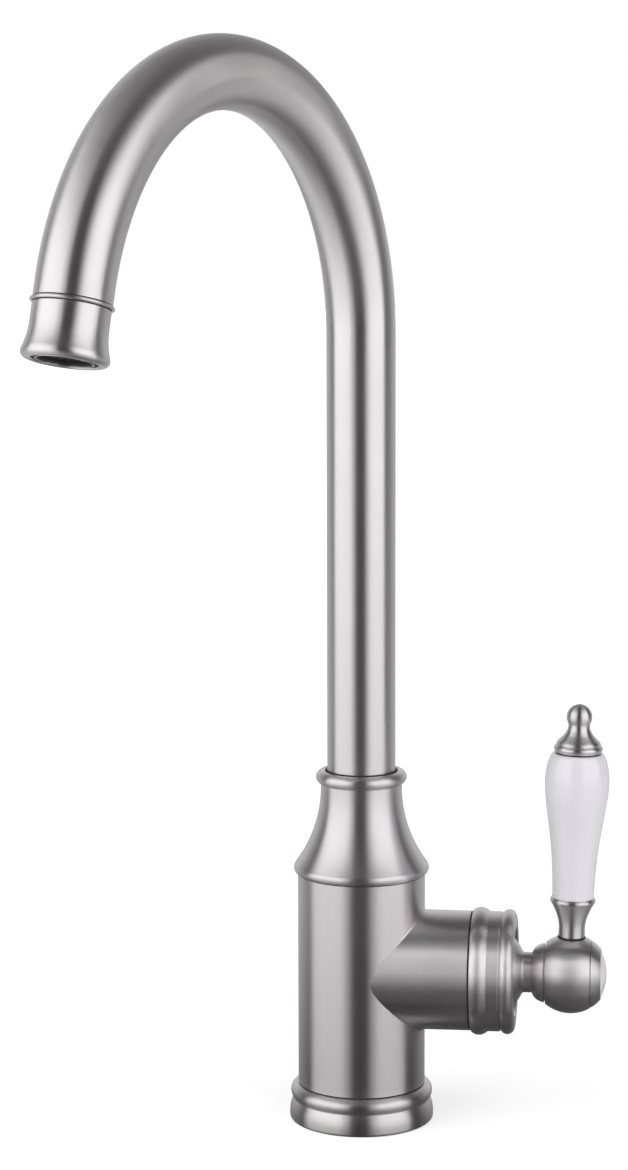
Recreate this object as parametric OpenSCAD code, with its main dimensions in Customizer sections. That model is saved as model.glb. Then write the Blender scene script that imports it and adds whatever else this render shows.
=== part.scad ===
// Kitchen mixer tap with a swivel gooseneck spout and a side lever with a porcelain grip.
// The origin is the middle of the face that stands on the deck. +Z is up and +X runs out
// along the branch that holds the cartridge and the lever. All sizes are in millimetres.

/* [Base ring] */
// Height of the ring that covers the deck hole
base_ring_h = 13.4; // [12.5:0.1:18]
// How far the foot of the ring stands out past the body
base_overhang = 3.2; // [2.8:0.1:6]
// Section radius of the half-round bead under the body
base_bead_r = 3; // [2.7:0.1:3.4]
// Thickness of the rubber seal on the deck
base_seal_h = 2.4; // [1.5:0.1:3]

/* [Body] */
// Radius of the upright body
body_r = 23.4; // [22.5:0.1:30]
// Height of the upright body above the base ring
body_h = 79.8; // [66:0.1:110]
// Radius of the spigot that the base ring sits on
spigot_r = 20; // [18:0.1:21]
// Height of the branch axis above the base ring
branch_rise = 43.4; // [36:0.1:46]
// Radius of the branch that holds the cartridge
branch_r = 21.9; // [21.7:0.1:27]
// Distance from the body axis to the end of the branch
branch_len = 41; // [39:0.1:50]
// Height of the neck that the spout turns in
neck_h = 24.3; // [20:0.1:26]
// Radius of the neck that the spout turns in
neck_r = 12.9; // [12.5:0.1:13]

/* [Deck connections] */
// Bore radius of the M10 hose threads
hose_thread_r = 4.5; // [4:0.1:5]
// Depth of the hose threads
hose_thread_depth = 12; // [8:0.5:20]
// Distance of each hose thread from the middle, towards the branch
hose_x = 6; // [5:0.5:7]
// Distance of each hose thread to the side
hose_y = 8.5; // [8:0.5:9]
// Bore radius of the M8 thread for the fixing stud
stud_thread_r = 3.4; // [3:0.1:4]
// Depth of the stud thread
stud_thread_depth = 16; // [10:0.5:24]
// Distance of the stud thread behind the middle
stud_x = -11; // [-13:0.5:-9]

/* [Shoulder collar] */
// How far the lip of the collar stands out past the body
collar_overhang = 1.45; // [1:0.05:3]
// Height of the lip of the collar
collar_lip_h = 3.4; // [2.5:0.1:5]
// Height of the collar from its lip to the top of its bell
bell_top = 31.9; // [28:0.1:40]
// Metal round the spout tube at the top of the bell
bell_wall = 2.4; // [2.2:0.1:4]
// Section radius of the bead at the top of the collar
collar_bead_r = 2.7; // [2.3:0.1:3]
// Height of that bead above the top of the bell
collar_bead_rise = 3.9; // [3:0.1:5]

/* [Spout] */
// Outer radius of the spout tube
tube_r = 12.5; // [12:0.1:12.5]
// Wall of the spout tube
tube_wall = 1; // [0.8:0.1:2]
// Height from the top of the body to the start of the bend
riser_h = 197.1; // [150:0.1:260]
// Radius of the bend at the middle of the tube
bend_r = 91; // [70:0.5:120]
// Angle that the tube bends through
bend_angle = 165; // [140:1:175]
// Straight length of tube after the bend
tail_len = 4.2; // [2:0.1:20]
// Direction of the spout, turned about +Z from the branch
spout_direction = 246.9; // [0:0.1:360]
// Radius of the bush that turns in the body
bush_r = 10.45; // [9.5:0.05:10.6]
// Length of the bush below its flange
bush_len = 36; // [30:0.5:38]
// Section radius of the two sealing rings on the bush
o_ring_r = 0.9; // [0.7:0.05:1]

/* [Outlet cup] */
// Length of the cup from the tube to its mouth
cup_len = 19.2; // [17:0.1:24]
// Length of the fine bead at the top of the cup
cup_bead_w = 1.6; // [1.2:0.1:2.5]
// How far that bead stands out past the tube
cup_bead_out = 0.8; // [0.4:0.1:1.5]
// Largest radius of the lip
cup_lip_r = 14; // [13.6:0.1:16]
// Radius of the mouth that the aerator screws into
mouth_r = 10.6; // [10.4:0.1:10.8]

/* [Cartridge] */
// Radius of the cartridge housing, 17.4 for the 35 mm size
cartridge_r = 17.4; // [17.2:0.1:17.5]
// Distance of the tilting pin past the end of the branch
pivot_past_branch = 1.8; // [1.6:0.1:2]
// Distance of each inlet port from the axis of the discs
port_circle_r = 8.2; // [8:0.1:8.3]
// Bore radius of the two inlet ports
inlet_port_r = 2.5; // [2:0.1:2.6]
// Bore radius of the outlet port
outlet_port_r = 3.2; // [2.5:0.1:3.3]
// How far the moving disc slides from shut to open
disc_travel = 4.09; // [3.5:0.01:4.2]
// Angle that the lever turns to each side before the stops meet
turn_each_way = 45; // [30:1:50]
// Radius of the pin that the stem tilts on
pin_r = 1.5; // [1.2:0.1:1.8]
// Width of the stem across the pin
stem_w = 7.8; // [7:0.1:8]
// Thickness of the stem
stem_t = 7; // [6:0.1:7.2]

/* [Cover ring] */
// Length of the ring from its seam to its face
cover_len = 15.8; // [15.5:0.1:17]
// How far the wide bead stands out past the branch
cover_bead_out = 1.5; // [1:0.1:3]
// How far the bead at the face stands out past the branch
face_bead_out = 0.95; // [0.5:0.05:2.5]
// Radius of the opening round the lever
cover_mouth_r = 14.8; // [14.4:0.1:15.2]

/* [Lever hub] */
// Radius of the dome that turns inside the cover ring
dome_r = 18.4; // [18:0.05:18.8]
// Wall of the dome
dome_wall = 2; // [1.5:0.1:2.3]
// Half angle that the dome covers, seen from the pin
dome_half_angle = 73; // [72:0.5:74]
// Radius of the neck of the hub
hub_neck_r = 7.4; // [7.2:0.1:7.8]
// Radius of the collar between the neck and the ball
hub_collar_r = 10.9; // [10.5:0.1:11.2]
// Distance from the tilting pin to the middle of the ball
ball_reach = 34.2; // [33.5:0.1:41]
// Radius of the ball
ball_r = 14.5; // [14:0.1:16]
// Radius of the porcelain button in the end of the hub
button_r = 8.6; // [7:0.1:9]

/* [Lever] */
// Angle that the lever leans out from the body
lever_lean = 1.5; // [0:0.5:10]
// Radius of the waist of the ferrule
ferrule_r = 4.8; // [4.4:0.1:6]
// Radius of the rim of the ferrule
ferrule_rim_r = 8.3; // [8.2:0.1:10]
// Height of the ferrule rim above the middle of the ball
ferrule_top = 28.9; // [24:0.1:34]
// Length of the porcelain grip
grip_len = 54; // [45:0.5:70]
// Radius of the grip at its lower end
grip_foot_r = 7.6; // [7:0.1:7.8]
// Radius of the grip at its widest
grip_r = 11.7; // [9:0.1:14]
// Radius of the skirt of the finial
finial_r = 8.9; // [8:0.1:11]
// Radius of the small ball on top
finial_ball_r = 4.7; // [4:0.1:6]
// Radius of the rod that clamps the grip
rod_r = 3; // [2.5:0.1:3.2]

/* [Hidden] */
$fn = 96;

// Finishes
nickel = [0.72, 0.71, 0.70];
raw_brass = [0.80, 0.66, 0.36];
glazed_white = [0.94, 0.94, 0.96];
alumina = [0.93, 0.90, 0.86];
black_rubber = [0.12, 0.12, 0.13];
white_plastic = [0.88, 0.88, 0.85];
grey_plastic = [0.45, 0.46, 0.48];
steel = [0.66, 0.67, 0.69];

// Clearances: between pieces that move, between a shaft and its bore, and for a seated piece
gap = 0.3;
running = 0.05;
seat = 0.05;

// Fine grooves that show where turned pieces meet
groove_w = 0.5;
groove_depth = 0.4;

// Heights of the body
body_top = base_ring_h + body_h;
axis_z = base_ring_h + branch_rise;
neck_top = body_top + neck_h;

// Base ring and its seal
base_r = body_r + base_overhang;
seal_in_r = spigot_r + 1;
seal_out_r = spigot_r + 4.4;

// Thread of the collar on the body
collar_thread_r = body_r - 4.4;
collar_thread_h = 8;

// Spout bush, from its flange down
slip_h = 1;
flange_h = 1.5;
flange_z = neck_top + gap / 2 + slip_h;
tube_foot_z = flange_z + flange_h;
bush_foot_z = flange_z - bush_len;
socket_foot_z = bush_foot_z - 2;
bush_bore_r = 6.9;
tube_bore_r = tube_r - tube_wall;
snap_z = bush_foot_z + 2;
snap_h = 1.4;
snap_in_r = bush_r - 0.85;
snap_out_r = bush_r + 0.65;
o_ring_floor_r = bush_r - running - 2 * o_ring_r;
o_ring_rises = [11, 21];
bend_z = body_top + riser_h;
sizing = 0.02;

// Aerator, measured from the tube end to the mouth
cup_seat_w = 7;
washer_h = 1.2;
aerator_end_w = cup_len - 0.8;
aerator_r = mouth_r - seat;
aerator_bore_r = aerator_r - 1.6;
screen_w = 10.2;
screen_h = 0.6;

// Cartridge, measured along the branch from the body axis
floor_x = branch_len - 25;
base_h = 4.4;
base_step_h = 2.2;
disc_h = 3;
fixed_x = floor_x + base_h;
moving_x = fixed_x + disc_h + seat;
carrier_x = moving_x + disc_h;
carrier_h = 2.25;
boss_h = 3;
rotor_x = carrier_x + carrier_h + gap;
rotor_flange_h = 2;
step_x = rotor_x + rotor_flange_h + gap;
shoulder_x = step_x + 2.1;
housing_bore_r = cartridge_r - 2;
fixed_disc_r = housing_bore_r - 0.2;
barrel_bore_r = 12;
collar_r = 14.6;
housing_top_x = pivot_past_branch + branch_len + 2.4;
rotor_top_x = housing_top_x + 1.3;
nut_r = cartridge_r + 1.85;
nut_top_x = branch_len - 2.8;
pivot_x = branch_len + pivot_past_branch;
ball_end_r = 3.1;
ball_end_x = carrier_x + 4.7;
ball_end_drop = disc_travel / 2;
boss_r = ball_end_r + 2.1;
port_angle = 35;
outlet_port_drop = 5.5;
seal_rim = 1.7;
seal_depth = 1.6;
disc_r = 12.9;
recess_r = 6.1;
locator_r = 1.4;
locator_h = 2;
locator_drop = 12;
locator_y = 7;
key_r = 1.5;
key_grip = 1.6;
stop_in_r = housing_bore_r - 1.7;
stop_half_angle = 10;
stop_play_angle = 1.5;

// Cover ring, which screws into the branch
web_r = branch_r - 1.1;
web_bore_r = collar_r + 0.6;
web_x = branch_len - 2.5;
seam = 0.2;
cover_x = branch_len + seam;
face_x = branch_len + cover_len + seam;
cavity_r = dome_r + 0.4;

// Hub, measured along the branch from the body axis
ball_x = pivot_x + ball_reach;
dome_top_x = pivot_x + 12.7;
stem_end_x = ball_x - 11;
hub_end_x = ball_x + 7.5;
end_plate = 1.7;
ring_face_r = button_r + 0.6;
ring_end_x = ball_x + sqrt(ball_r * ball_r - ring_face_r * ring_face_r) + 0.1;
end_thread_r = button_r - 1.7;
end_thread_h = 3.5;
button_x = hub_end_x + end_plate;
button_edge_h = 1.9;
button_dome_h = 2.2;
screw_x = ball_x - 15.8;
screw_r = 2;

// Lever, measured up from the middle of the ball
cup_depth = 1;
washer_t = 0.5;
ferrule_floor = ferrule_top - cup_depth;
grip_foot = ferrule_floor + washer_t;
grip_top = grip_foot + grip_len;
finial_foot = grip_top + washer_t;

// Points along an arc from one angle to another
function arc(c, r, from, to, n = 12) =
    [for (i = [0:n]) c + r * [cos(from + (to - from) * i / n), sin(from + (to - from) * i / n)]];

// One point of a curve that leaves p and reaches s along the handles q and r
function on_curve(p, q, r, s, t) =
    pow(1 - t, 3) * p + 3 * t * pow(1 - t, 2) * q + 3 * t * t * (1 - t) * r + t * t * t * s;

// Points along that curve
function curve(p, q, r, s, n = 14) = [for (i = [0:n]) on_curve(p, q, r, s, i / n)];

// Radius of the arc that rises by one length over half a chord
function arc_r(rise, half) = (half * half + rise * rise) / (2 * rise);

// Turns an outline of [radius, height] points about the upright axis
module turned(outline) {
    rotate_extrude() polygon(outline);
}

// A plain ring
module ring(out_r, in_r, from, to) {
    difference() {
        translate([0, 0, from]) cylinder(r = out_r, h = to - from);
        translate([0, 0, from - 1]) cylinder(r = in_r, h = to - from + 2);
    }
}

// Part of a ring, as wide as its half angle to each side of the lower edge
module sector(out_r, in_r, from, to, half_angle) {
    rotate([0, 0, 180 - half_angle]) rotate_extrude(angle = 2 * half_angle)
        translate([in_r, from]) square([out_r - in_r, to - from]);
}

// A bore or a shaft between two heights
module bar(r, from, to) {
    translate([0, 0, from]) cylinder(r = r, h = to - from);
}

// Places a piece on the branch: its own z runs out along +X and its own x points up
module on_branch() {
    translate([0, 0, axis_z]) rotate([0, 90, 0]) rotate([0, 0, 180]) children();
}

// Places a piece on the lever: its own z runs up the lever from the middle of the ball
module on_lever() {
    translate([ball_x, 0, axis_z]) rotate([0, lever_lean, 0]) children();
}

// Places a piece on the spout: its own x points towards the outlet
module on_spout() {
    rotate([0, 0, spout_direction]) children();
}

// Places a piece at the end of the bend: its own z runs on towards the mouth
module on_bend_end() {
    on_spout() translate([bend_r, 0, bend_z]) rotate([0, bend_angle, 0])
        translate([-bend_r, 0, 0]) children();
}

// Places a piece at the end of the tube: its own z runs out of the mouth
module on_outlet() {
    on_bend_end() translate([0, 0, tail_len]) children();
}

// The places of the two inlet ports and the outlet port on the branch
module at_inlets() {
    for (side = [-1, 1])
        translate([port_circle_r * cos(port_angle), side * port_circle_r * sin(port_angle), 0])
            children();
}
module at_outlet() {
    translate([-outlet_port_drop, 0, 0]) children();
}

// The places of the two pins that locate the cartridge in the body
module at_locators() {
    for (side = [-1, 1]) translate([-locator_drop, side * locator_y, 0]) children();
}

// The places of the two keys at the rim of a disc
module at_keys(rim_r) {
    for (side = [-1, 1]) translate([0, side * rim_r, 0]) children();
}

// Brass casting: the upright body, the branch, the neck for the spout and the waterways
module tap_body() {
    inlet_z = axis_z + port_circle_r * cos(port_angle);
    mix_z = axis_z - outlet_port_drop;
    run = [hose_x - floor_x, hose_y - port_circle_r * sin(port_angle)];
    color(nickel) difference() {
        union() {
            bar(spigot_r, 0, base_ring_h);
            bar(body_r, base_ring_h, body_top);
            bar(collar_thread_r, body_top, body_top + collar_thread_h);
            bar(neck_r, body_top, neck_top);
            on_branch() bar(branch_r, 0, branch_len);
        }
        // Seats of the cartridge, its nut and the cover ring
        on_branch() {
            bar(cartridge_r + gap, floor_x, branch_len + 1);
            bar(nut_r + seat, shoulder_x - 3, branch_len + 1);
            bar(web_r + seat, web_x, branch_len + 1);
            at_locators() bar(locator_r + 2 * seat, floor_x - locator_h - 0.4, floor_x + 1);
        }
        // Socket of the spout bush, with the groove for its snap ring
        bar(bush_r + running, socket_foot_z, neck_top + 1);
        bar(snap_out_r + gap, snap_z - gap, snap_z + snap_h + gap);
        // Mixed water runs up to the spout
        bar(4.5, mix_z, socket_foot_z + 1);
        translate([0, 0, mix_z]) rotate([0, 90, 0]) bar(outlet_port_r, 0, floor_x + 1);
        // Hot and cold water run up from the hose threads to the cartridge
        for (side = [-1, 1]) {
            translate([hose_x, side * hose_y, 0]) {
                bar(hose_thread_r, -1, hose_thread_depth);
                bar(inlet_port_r, 0, inlet_z);
            }
            translate([hose_x, side * hose_y, inlet_z])
                rotate([0, 90, -side * atan2(run[1], -run[0])])
                    bar(inlet_port_r - 0.2, 0, norm(run) + 1);
        }
        translate([stud_x, 0, 0]) bar(stud_thread_r, -1, stud_thread_depth);
        // Fine grooves under the collar, over the base ring and at the cover ring
        ring(body_r + 1, body_r - groove_depth, body_top - groove_w, body_top + 1);
        ring(body_r + 1, body_r - groove_depth, base_ring_h - 1, base_ring_h + groove_w);
        on_branch() ring(branch_r + 1, branch_r - groove_depth, branch_len - groove_w, branch_len + 1);
    }
}

// Turned ring between the body and the deck: a swelling foot, a groove and a half-round bead
module base_ring() {
    foot_r = 1.2;
    belly_z = 2.4;
    groove_in = 1.35;
    bead_turn = 46;
    groove_z = base_ring_h - base_bead_r * (1 + sin(bead_turn)) - 0.4;
    belly_r = arc_r(groove_in, groove_z - belly_z);
    bead_c = [base_r - 0.4 - base_bead_r, base_ring_h - base_bead_r];
    color(nickel) turned(concat(
        [[spigot_r + seat, 0], [seal_in_r - seat, 0], [seal_in_r - seat, base_seal_h]],
        [[seal_out_r + seat, base_seal_h], [seal_out_r + seat, 0]],
        arc([base_r - foot_r, foot_r], foot_r, -90, 0, 6),
        arc([base_r - belly_r, belly_z], belly_r, 0, asin((groove_z - belly_z) / belly_r), 8),
        arc(bead_c, base_bead_r, -bead_turn, 90),
        [[spigot_r + seat, base_ring_h]]
    ));
}

// Flat rubber ring that seals the foot on the deck
module base_seal() {
    color(black_rubber) ring(seal_out_r, seal_in_r, 0, base_seal_h);
}

// Turned collar between the body and the spout: a rounded lip, a hollow bell and a bead
module shoulder_collar() {
    lip_bulge = 0.75;
    lip_r = arc_r(lip_bulge, collar_lip_h / 2);
    lip_c = [body_r + collar_overhang - lip_r, body_top + collar_lip_h / 2];
    lip_turn = asin(collar_lip_h / 2 / lip_r);
    bell_in = tube_r + bell_wall;
    bell_out = body_r + collar_overhang - lip_bulge + 0.15;
    bell_rise = bell_top - collar_lip_h;
    bell_r = arc_r(bell_out - bell_in, bell_rise);
    bell_c = [bell_in + bell_r, body_top + bell_top];
    bead_in = 0.9;
    bead_c = [bell_in - bead_in, body_top + bell_top + collar_bead_rise];
    bore = tube_r + gap;
    hollow_r = neck_r + 0.4;
    hollow_top = body_top + 19;
    thread_top = body_top + collar_thread_h + 0.4;
    color(nickel) turned(concat(
        [[collar_thread_r + seat, body_top]],
        arc(lip_c, lip_r, -lip_turn, lip_turn, 8),
        arc(bell_c, bell_r, 180 + asin(bell_rise / bell_r), 180, 16),
        arc(bead_c, collar_bead_r, -acos(bead_in / collar_bead_r),
            acos((bore - bead_c[0]) / collar_bead_r)),
        [[bore, neck_top + gap], [hollow_r, neck_top + gap], [hollow_r, hollow_top]],
        [[collar_thread_r - 1.4, thread_top], [collar_thread_r + seat, thread_top]]
    ));
}

// Bent tube of the spout: a straight riser, the bend and a short straight tail
module spout_tube() {
    color(nickel) {
        on_spout() {
            ring(tube_r, tube_bore_r, tube_foot_z, bend_z);
            translate([bend_r, 0, bend_z]) rotate([90, 0, 0])
                rotate_extrude(angle = -bend_angle) translate([-bend_r, 0]) difference() {
                    circle(r = tube_r);
                    circle(r = tube_bore_r);
                }
        }
        // The end is sized a hair thinner, so that it runs cleanly into the bend
        on_bend_end() ring(tube_r - sizing, tube_bore_r + sizing, -0.1, tail_len);
    }
}

// Brass fitting brazed into the foot of the tube, which turns in the body
module spout_bush() {
    color(raw_brass) difference() {
        union() {
            bar(bush_r, bush_foot_z, flange_z + flange_h);
            bar(tube_r - 0.05, flange_z, tube_foot_z);
            bar(tube_bore_r - seat / 2, tube_foot_z, tube_foot_z + 10);
        }
        bar(bush_bore_r, bush_foot_z - 1, tube_foot_z + 11);
        for (rise = o_ring_rises)
            ring(bush_r + 1, o_ring_floor_r, bush_foot_z + rise - 1.2, bush_foot_z + rise + 1.2);
        ring(bush_r + 1, snap_in_r - seat, snap_z - seat, snap_z + snap_h + seat);
    }
}

// Rubber rings that seal the bush in its socket
module spout_o_rings() {
    color(black_rubber)
        for (rise = o_ring_rises)
            translate([0, 0, bush_foot_z + rise]) rotate_extrude()
                translate([o_ring_floor_r + o_ring_r, 0]) circle(r = o_ring_r);
}

// Split ring that springs into the body and holds the spout down
module spout_snap_ring() {
    color(steel) difference() {
        ring(snap_out_r, snap_in_r, snap_z, snap_z + snap_h);
        translate([0, -2, snap_z - 1]) cube([snap_out_r + 1, 4, snap_h + 2]);
    }
}

// Slippery washer that the flange of the bush turns on
module spout_slip_ring() {
    color(white_plastic) ring(neck_r - 0.6, bush_r + 0.2, flange_z - slip_h, flange_z);
}

// Turned cup at the end of the spout: a fine bead, a waist and a flared, rounded lip
module outlet_cup() {
    waist_r = tube_r - 0.1;
    lip_w = cup_len - 1.9;
    waist_w = cup_len * 0.4;
    flare_r = arc_r(cup_lip_r - 0.1 - waist_r, lip_w - 0.9 - waist_w);
    flare_turn = asin((lip_w - 0.9 - waist_w) / flare_r);
    bead_r = arc_r(cup_bead_out, cup_bead_w / 2);
    bead_turn = asin(min(1, cup_bead_w / 2 / bead_r));
    color(nickel) on_outlet() turned(concat(
        [[tube_bore_r - 2, -6], [tube_bore_r - seat, -6], [tube_bore_r - seat, 0]],
        arc([tube_r + cup_bead_out - bead_r, cup_bead_w / 2], bead_r, -bead_turn, bead_turn, 8),
        [[waist_r, cup_bead_w + 0.1]],
        arc([waist_r + flare_r, waist_w], flare_r, 180, 180 - flare_turn),
        arc([cup_lip_r - 1.9, lip_w], 1.9, 0, 90, 8),
        [[mouth_r + 0.4, cup_len], [mouth_r, cup_len - 0.4], [mouth_r, cup_seat_w]],
        [[tube_bore_r - 2, cup_seat_w]]
    ));
}

// Screwed brass shell of the aerator
module aerator_housing() {
    rim_r = aerator_r - 0.8;
    lip_r = aerator_r - 2.3;
    color(nickel) on_outlet() turned([
        [aerator_r, cup_seat_w + washer_h], [aerator_r, cup_len - 3.2], [rim_r, cup_len - 2.8],
        [rim_r, aerator_end_w - 0.4], [rim_r - 0.4, aerator_end_w], [lip_r + 0.3, aerator_end_w],
        [lip_r, aerator_end_w - 0.5], [lip_r, aerator_end_w - 1], [aerator_bore_r, aerator_end_w - 1],
        [aerator_bore_r, cup_seat_w + washer_h]
    ]);
}

// Plastic honeycomb that straightens the stream
module aerator_insert() {
    cell = 0.95;
    pitch = 2.2;
    color(grey_plastic) on_outlet() difference() {
        bar(aerator_bore_r - seat, screen_w + screen_h, aerator_end_w - 1);
        for (i = [-3:3])
            for (j = [-3:3])
                if (abs(i + j) <= 3)
                    translate([pitch * (i + j / 2), pitch * j * sin(60), 0])
                        translate([0, 0, screen_w]) cylinder(r = cell, h = cup_len, $fn = 6);
    }
}

// Thin perforated disc above the honeycomb
module aerator_screen() {
    color(steel) on_outlet() difference() {
        bar(aerator_bore_r - seat, screen_w, screen_w + screen_h);
        for (circle_r = [2.6, 5.4])
            for (turn = [0:45:359])
                rotate([0, 0, turn]) translate([circle_r, 0, 0]) bar(0.5, screen_w - 1, screen_w + 2);
    }
}

// Rubber washer that the aerator is tightened on
module aerator_washer() {
    color(black_rubber) on_outlet()
        ring(aerator_r, mouth_r - 2.6, cup_seat_w, cup_seat_w + washer_h);
}

// Plastic foot of the cartridge: the ports and their seal seats, two pins that locate it in the
// body, and two keys that hold the fixed disc
module cartridge_base() {
    color(white_plastic) on_branch() difference() {
        union() {
            bar(cartridge_r, floor_x, floor_x + base_step_h);
            bar(housing_bore_r - seat, floor_x, fixed_x);
            at_locators() bar(locator_r, floor_x - locator_h, floor_x + 1);
            intersection() {
                bar(fixed_disc_r, floor_x + 1, fixed_x + disc_h - 0.5);
                at_keys(fixed_disc_r) bar(key_r, floor_x, fixed_x + disc_h);
            }
        }
        at_inlets() {
            bar(inlet_port_r, floor_x - 1, fixed_x + 1);
            bar(inlet_port_r + seal_rim, floor_x - 1, floor_x + seal_depth);
        }
        at_outlet() {
            bar(outlet_port_r, floor_x - 1, fixed_x + 1);
            bar(outlet_port_r + seal_rim, floor_x - 1, floor_x + seal_depth);
        }
    }
}

// Rubber seals between the cartridge and the body
module cartridge_seals() {
    color(black_rubber) on_branch() {
        at_inlets() ring(inlet_port_r + seal_rim - seat, inlet_port_r, floor_x, floor_x + seal_depth);
        at_outlet() ring(outlet_port_r + seal_rim - seat, outlet_port_r, floor_x, floor_x + seal_depth);
    }
}

// Stepped plastic shell of the cartridge, with the stop that the core turns against
module cartridge_housing() {
    color(white_plastic) on_branch() {
        turned([
            [cartridge_r, floor_x + base_step_h], [cartridge_r, shoulder_x], [collar_r, shoulder_x],
            [collar_r, housing_top_x - 0.6], [collar_r - 0.6, housing_top_x],
            [barrel_bore_r, housing_top_x], [barrel_bore_r, step_x], [housing_bore_r, step_x],
            [housing_bore_r, floor_x + base_step_h]
        ]);
        sector(housing_bore_r + 1, stop_in_r, rotor_x, step_x + 1, stop_half_angle);
    }
}

// Ceramic disc that stays still, with two inlets, one outlet and a notch for each key
module fixed_disc() {
    color(alumina) on_branch() difference() {
        bar(fixed_disc_r, fixed_x, fixed_x + disc_h);
        at_keys(fixed_disc_r) bar(key_r + seat, fixed_x - 1, fixed_x + disc_h + 1);
        at_inlets() bar(inlet_port_r, fixed_x - 1, fixed_x + disc_h + 1);
        at_outlet() bar(outlet_port_r, fixed_x - 1, fixed_x + disc_h + 1);
    }
}

// Ceramic disc that slides and turns over it, with a recess that joins the ports
module moving_disc() {
    color(alumina) on_branch() translate([-ball_end_drop, 0, 0]) difference() {
        bar(disc_r, moving_x, moving_x + disc_h);
        translate([0.4, 0, 0]) bar(recess_r, moving_x - 1, moving_x + 1.6);
        at_keys(disc_r) bar(key_r + seat, carrier_x - key_grip - 0.4, carrier_x + 1);
    }
}

// Plastic carrier, keyed to the moving disc, with the socket for the ball end of the stem
module disc_carrier() {
    color(grey_plastic) on_branch() translate([-ball_end_drop, 0, 0]) difference() {
        union() {
            bar(disc_r - 0.5, carrier_x, carrier_x + carrier_h);
            bar(boss_r, carrier_x, carrier_x + carrier_h + boss_h);
            intersection() {
                bar(disc_r - 0.6, carrier_x - key_grip, carrier_x + 1);
                at_keys(disc_r) bar(key_r, carrier_x - disc_h, carrier_x + 2);
            }
        }
        bar(ball_end_r + 0.2, ball_end_x - ball_end_r - 0.4, carrier_x + carrier_h + boss_h + 1);
    }
}

// Plastic core that turns in the housing and carries the tilting pin. A recess in its flange
// meets the stop at each end of the turn.
module cartridge_rotor() {
    slot_w = stem_w + 0.4;
    slot_l = stem_t + 4.4;
    well_r = boss_r + ball_end_drop + 0.5;
    recess_half_angle = turn_each_way + stop_half_angle + stop_play_angle;
    color(grey_plastic) on_branch() difference() {
        union() {
            bar(housing_bore_r - 0.4, rotor_x, rotor_x + rotor_flange_h);
            bar(barrel_bore_r - 0.08, rotor_x, rotor_top_x);
        }
        bar(well_r, rotor_x - 1, rotor_x + 3.4);
        sector(housing_bore_r + 1, stop_in_r - gap, rotor_x - 1, step_x, recess_half_angle);
        translate([-slot_l / 2, -slot_w / 2, rotor_x]) cube([slot_l, slot_w, rotor_top_x]);
        translate([0, 0, pivot_x]) rotate([90, 0, 0]) bar(pin_r + 0.02, -20, 20);
    }
}

// Steel pin that the stem tilts on
module stem_pin() {
    pin_half = barrel_bore_r - 1;
    color(steel) on_branch() translate([0, 0, pivot_x]) rotate([90, 0, 0]) bar(pin_r, -pin_half, pin_half);
}

// Brass stem: a flat bar for the hub and a cranked arm with a ball end for the discs
module cartridge_stem() {
    reach = pivot_x - ball_end_x;
    arm_len = norm([reach, ball_end_drop]);
    color(raw_brass) on_branch() difference() {
        union() {
            translate([-stem_t / 2, -stem_w / 2, pivot_x - 4.8])
                cube([stem_t, stem_w, stem_end_x - pivot_x + 4.8]);
            translate([0, 0, pivot_x]) rotate([0, 180 + atan2(ball_end_drop, reach), 0]) bar(2.3, 0, arm_len);
            translate([-ball_end_drop, 0, ball_end_x]) sphere(r = ball_end_r);
        }
        translate([0, 0, pivot_x]) rotate([90, 0, 0]) bar(pin_r + 0.06, -20, 20);
    }
}

// Brass ring nut that holds the cartridge in the branch
module cartridge_nut() {
    color(raw_brass) on_branch() difference() {
        ring(nut_r, collar_r + gap, shoulder_x, nut_top_x);
        for (turn = [0:90:359])
            rotate([0, 0, turn]) translate([nut_r - 1.6, -2, nut_top_x - 2]) cube([3, 4, 3]);
    }
}

// Turned cover over the cartridge: a wide bead, a waist, a face bead and a dished mouth
module cover_ring() {
    bead_w = 5.6;
    waist_r = branch_r + 0.05;
    bead_r = arc_r(cover_bead_out - 0.4, bead_w / 2);
    bead_turn = asin(bead_w / 2 / bead_r);
    face_bead_r = 2.6;
    face_bead_c = [branch_r + face_bead_out - face_bead_r, face_x - face_bead_r];
    mouth_turn = acos(cover_mouth_r / cavity_r);
    web_top = cover_x + 0.15;
    color(nickel) on_branch() turned(concat(
        [[web_bore_r, web_x + 0.1], [web_r, web_x + 0.1], [web_r, cover_x]],
        arc([branch_r + cover_bead_out - bead_r, cover_x + bead_w / 2], bead_r, -bead_turn, bead_turn),
        [[waist_r, cover_x + bead_w + 0.5], [waist_r, face_x - 2 * face_bead_r - 0.3]],
        arc(face_bead_c, face_bead_r, -64, 90),
        [[cover_mouth_r + 1.6, face_x], [cover_mouth_r + 1.2, face_x - 0.4]],
        arc([0, pivot_x], cavity_r, mouth_turn, asin((web_top - pivot_x) / cavity_r)),
        [[web_bore_r, web_top]]
    ));
}

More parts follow.
